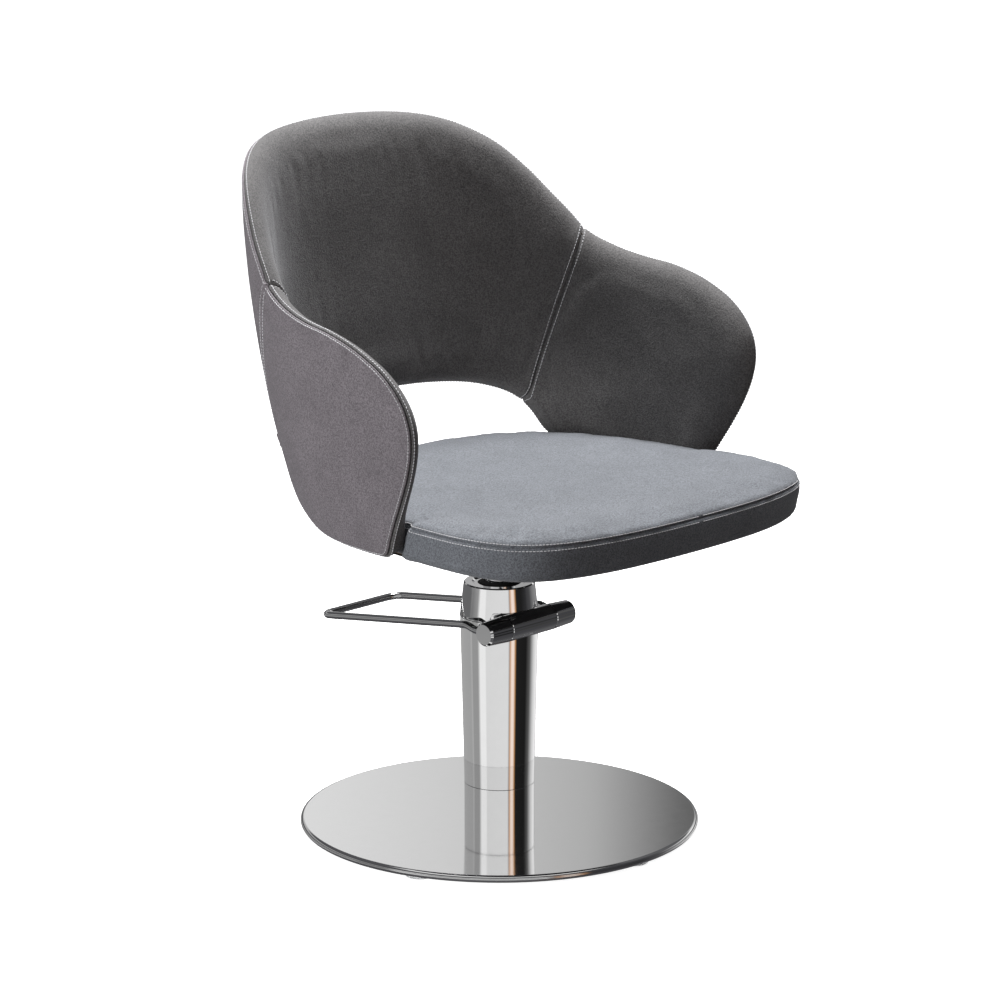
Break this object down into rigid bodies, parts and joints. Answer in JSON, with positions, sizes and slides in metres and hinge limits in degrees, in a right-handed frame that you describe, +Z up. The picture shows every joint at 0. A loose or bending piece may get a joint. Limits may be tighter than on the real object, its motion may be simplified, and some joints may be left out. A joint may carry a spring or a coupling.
{
  "type": "styling chair",
  "caption": "Hydraulic salon styling chair: upholstered tub seat with arms and lumbar opening, chromed pump column with foot lever, round steel base.",
  "frame": {"origin": "on the floor, on the column's vertical axis", "axes": "+Z up; the sitter faces -Y; +X is the sitter's left"},
  "size_m": [0.633, 0.619, 0.869],
  "materials": {
    "clear_glide": "translucent clear",
    "bare_steel": "machined",
    "polished_stainless": "polished",
    "zinc_steel": "zinc plated",
    "chrome": "mirror chrome",
    "black_steel": "satin black",
    "cast_block": "cast, oiled",
    "bronze": "sintered bronze",
    "black_rubber": "matt",
    "plywood": "raw beech plywood",
    "seat_leather": "soft nubuck grain",
    "inner_leather": "soft nubuck grain",
    "outer_leather": "soft nubuck grain",
    "dust_cloth": "non-woven"
  },
  "bodies": {
    "base": {"floor_glides": "clear_glide", "base_plate": "bare_steel", "base_cover": "polished_stainless", "base_bolts": "zinc_steel", "column_foot_ring": "chrome", "column_cover": "chrome", "head_cover": "chrome", "pump_reservoir": "black_steel", "pump_cylinder": "bare_steel", "pump_head": "cast_block", "guide_bush": "bronze", "wiper_seal": "black_rubber", "lever_housing": "chrome", "shaft_bushes": "bronze", "housing_screws": "black_steel", "plunger_barrel": "bare_steel", "plunger_spring": "bare_steel"},
    "lever": {"lever_shaft": "bare_steel", "lever_loop": "chrome", "pump_cam": "cast_block", "boss_screws": "black_steel", "lever_boss_left": "chrome", "lever_boss_right": "chrome"},
    "plunger": {"pump_plunger": "bare_steel"},
    "lift": {"ram_piston": "bare_steel", "piston_seal": "black_rubber", "thrust_washer": "bronze"},
    "seat": {"ram_rod": "chrome", "seat_mount_plate": "black_steel", "mount_bolts": "zinc_steel", "seat_board": "plywood", "seat_cushion": "seat_leather", "seat_under_cover": "dust_cloth", "bracket_screws": "zinc_steel", "corner_screws": "zinc_steel", "back_board": "plywood", "back_inner_pad": "inner_leather", "back_outer_cover": "outer_leather", "arm_bracket_left": "black_steel", "arm_bracket_right": "black_steel", "corner_plate_left": "black_steel", "corner_plate_right": "black_steel", "arm_board_left": "plywood", "arm_board_right": "plywood", "arm_inner_pad_left": "inner_leather", "arm_inner_pad_right": "inner_leather", "arm_outer_cover_left": "outer_leather", "arm_outer_cover_right": "outer_leather"}
  },
  "joints": [
    {"name": "seat_lift", "type": "slide", "parent": "base", "child": "lift", "axis": [0, 0, 1], "range_m": [0, 0.15]},
    {"name": "seat_swivel", "type": "hinge", "parent": "lift", "child": "seat", "pos_m": [0, 0, 0.3], "axis": [0, 0, 1], "continuous": true},
    {"name": "lever_pump", "type": "hinge", "parent": "base", "child": "lever", "pos_m": [0, -0.046, 0.269], "axis": [-1, 0, 0], "range_deg": [0, 25], "stiffness_Nm_per_rad": 6, "springref_deg": -20.05},
    {"name": "plunger_stroke", "type": "slide", "parent": "base", "child": "plunger", "axis": [0, 0, -1], "range_m": [0, 0.0057], "deforming": ["plunger_spring"]}
  ],
  "couplings": [
    {"joint": "plunger_stroke", "follows": "lever_pump", "m_per_rad": 0.0129}
  ]
}
